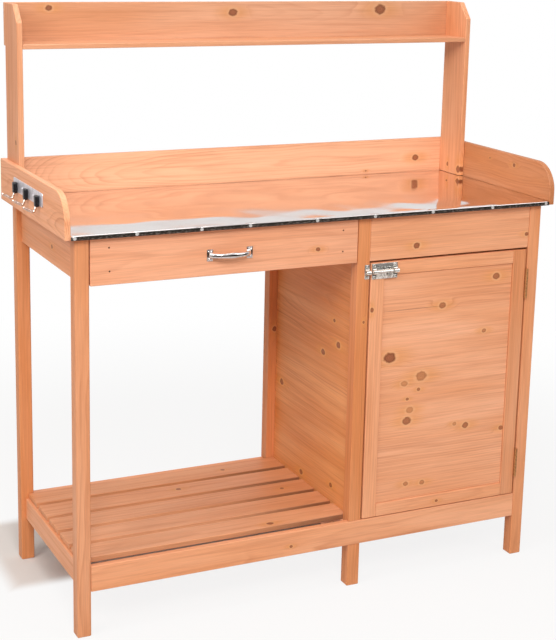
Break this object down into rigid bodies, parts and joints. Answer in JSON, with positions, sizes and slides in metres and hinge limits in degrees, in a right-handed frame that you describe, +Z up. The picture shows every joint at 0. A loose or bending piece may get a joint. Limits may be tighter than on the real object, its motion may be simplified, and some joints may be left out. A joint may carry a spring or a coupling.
{
  "type": "potting bench",
  "caption": "Wooden potting bench with a metal-covered worktop, raised shelf, drawer, cupboard with a bolted door, slatted lower shelf and a side rack of hooks.",
  "frame": {"origin": "on the floor, at the middle of the bounding box's underside", "axes": "+X to the right along the bench, -Y out of its front, +Z up"},
  "size_m": [1.1552, 0.462, 1.246],
  "materials": {
    "fir": "satin stained fir",
    "sheet_metal": "smooth galvanised sheet, mirror-like",
    "chrome": "polished",
    "zinc": "zinc plated",
    "black_rubber": "matt black block on a chromed wire"
  },
  "bodies": {
    "bench": {"leg_front_left": "fir", "leg_front_right": "fir", "leg_rear_left": "fir", "leg_rear_right": "fir", "post_front_middle": "fir", "post_rear_middle": "fir", "rail_bottom_front": "fir", "rail_bottom_rear": "fir", "rail_bottom_left": "fir", "rail_bottom_right": "fir", "rail_bottom_middle": "fir", "apron_left": "fir", "apron_right": "fir", "apron_rear": "fir", "apron_front_right": "fir", "slat_1": "fir", "slat_2": "fir", "slat_3": "fir", "slat_4": "fir", "slat_5": "fir", "cabinet_side_left": "fir", "cabinet_side_right": "fir", "cabinet_back": "fir", "cabinet_floor": "fir", "tabletop_board": "fir", "side_board_left": "fir", "side_board_right": "fir", "back_board": "fir", "upright_left": "fir", "upright_right": "fir", "shelf_board": "fir", "shelf_back_board": "fir", "drawer_runner_left": "fir", "drawer_runner_right": "fir", "tabletop_metal": "sheet_metal", "hook_rack_plate": "zinc", "hook_1": "black_rubber", "hook_2": "black_rubber", "hook_3": "black_rubber", "latch_keeper": "chrome", "hinge_upper_post_leaf": "zinc", "hinge_upper_pin": "zinc", "hinge_lower_post_leaf": "zinc", "hinge_lower_pin": "zinc"},
    "drawer": {"drawer_front": "fir", "drawer_side_left": "fir", "drawer_side_right": "fir", "drawer_back": "fir", "drawer_bottom": "fir", "drawer_handle": "chrome"},
    "door": {"door_stile_left": "fir", "door_stile_right": "fir", "door_rail_top": "fir", "door_rail_bottom": "fir", "door_panel": "fir", "hinge_upper_door_leaf": "zinc", "hinge_lower_door_leaf": "zinc", "latch_plate": "chrome"},
    "bolt": {"latch_bolt": "chrome"}
  },
  "joints": [
    {"name": "drawer_slide", "type": "slide", "parent": "bench", "child": "drawer", "axis": [0, -1, 0], "range_m": [0, 0.27]},
    {"name": "door_hinge", "type": "hinge", "parent": "bench", "child": "door", "pos_m": [0.52361, -0.2125, 0.153], "axis": [0, 0, 1], "range_deg": [0, 170]},
    {"name": "bolt_slide", "type": "slide", "parent": "door", "child": "bolt", "axis": [-1, 0, 0], "range_m": [0, 0.0145]}
  ]
}
